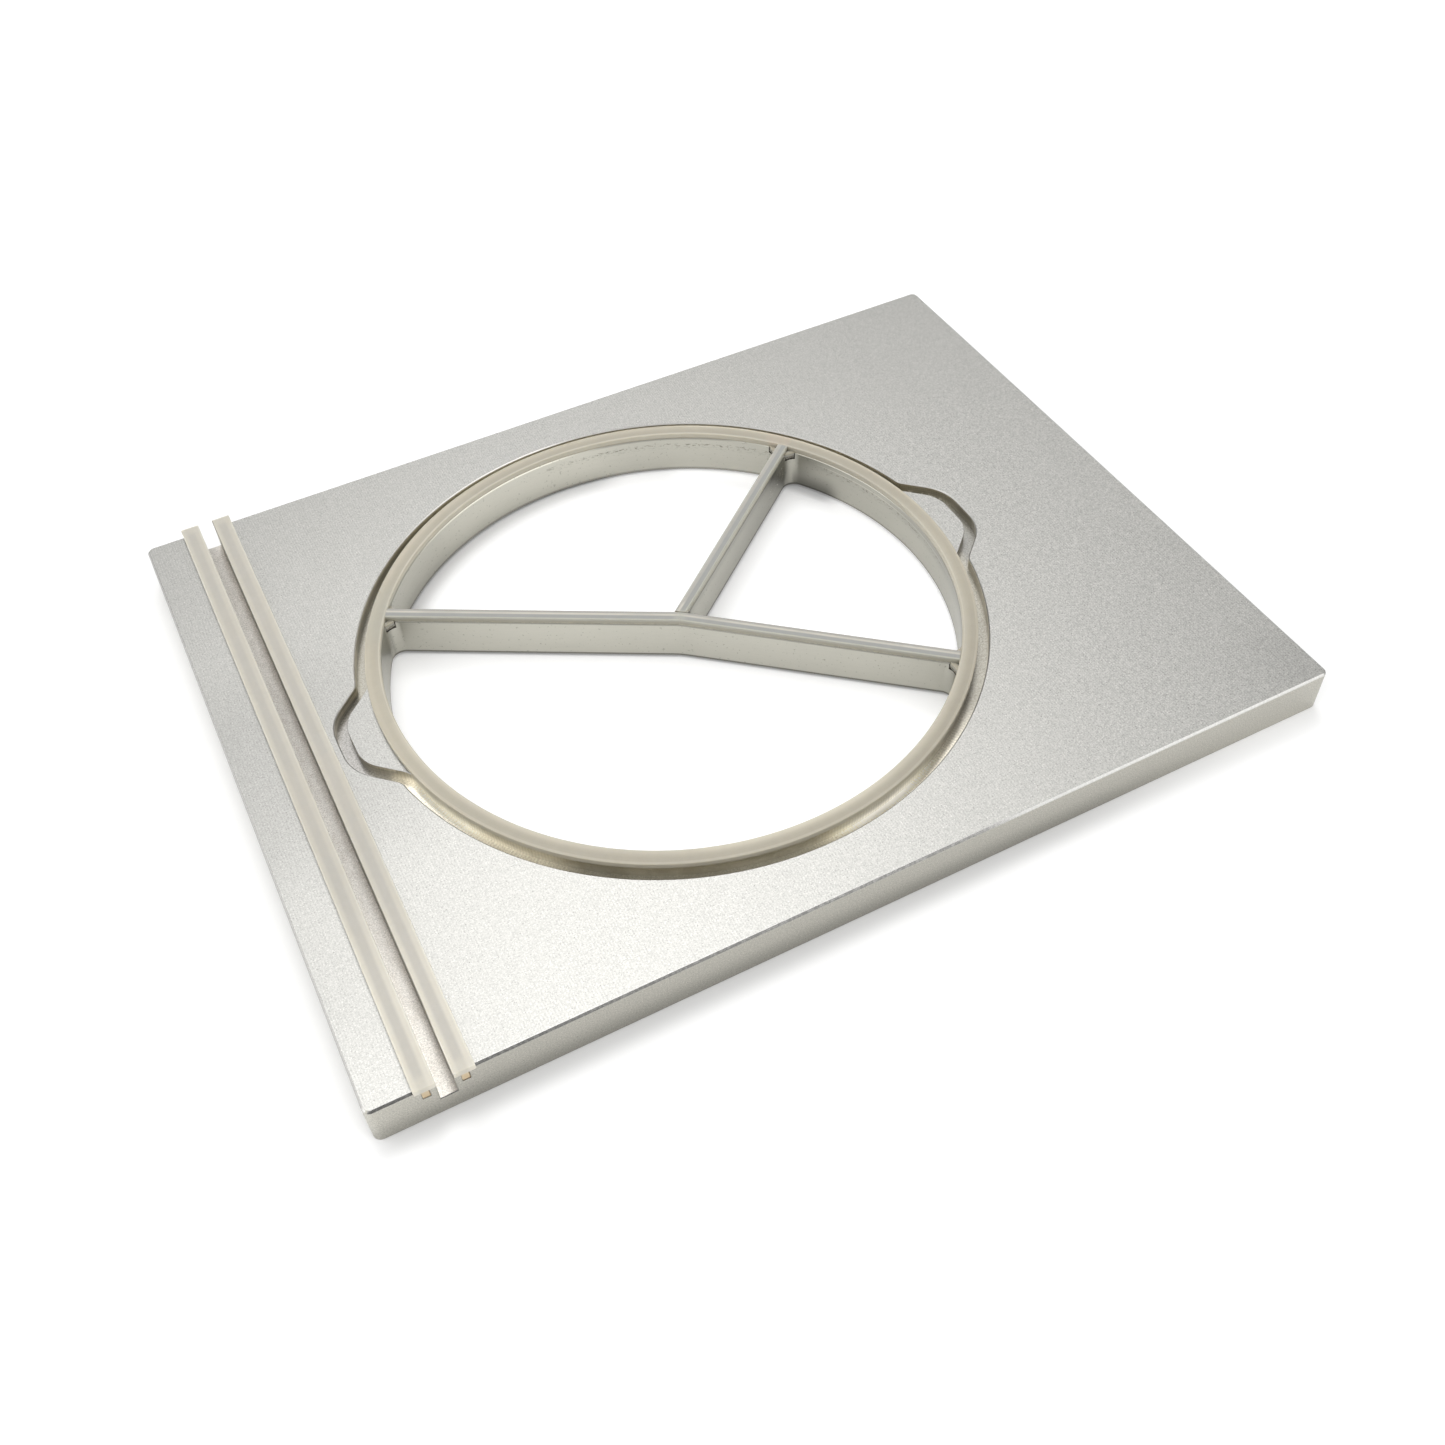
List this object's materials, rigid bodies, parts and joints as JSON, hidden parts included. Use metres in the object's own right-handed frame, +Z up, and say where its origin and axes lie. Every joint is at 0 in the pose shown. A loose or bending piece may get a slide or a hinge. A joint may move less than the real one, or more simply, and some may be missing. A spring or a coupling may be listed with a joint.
{
  "type": "tray sealer die plate",
  "caption": "Flat aluminium sealing die for a round divided tray: compartment openings, a knife groove with two tab ears, silicone seals and a cross-cut channel.",
  "frame": {"origin": "centre of the plate's underside", "axes": "+Z up out of the sealing face, +X along the long side away from the cross-cut channel, +Y across the plate"},
  "size_m": [0.39, 0.303, 0.0216],
  "materials": {
    "plate_aluminium": "bead-blasted and clear anodised, fine matt grain",
    "rim_silicone": "translucent milky beige silicone, satin",
    "divider_silicone": "translucent grey-white silicone, satin",
    "strip_silicone": "translucent warm white silicone, satin"
  },
  "bodies": {
    "root": {"die_plate": "plate_aluminium", "rim_seal_ring": "rim_silicone", "divider_seal_left": "divider_silicone", "divider_seal_rear": "divider_silicone", "divider_seal_front": "divider_silicone", "cross_cut_seal_outer": "strip_silicone", "cross_cut_seal_inner": "strip_silicone"}
  },
  "joints": []
}
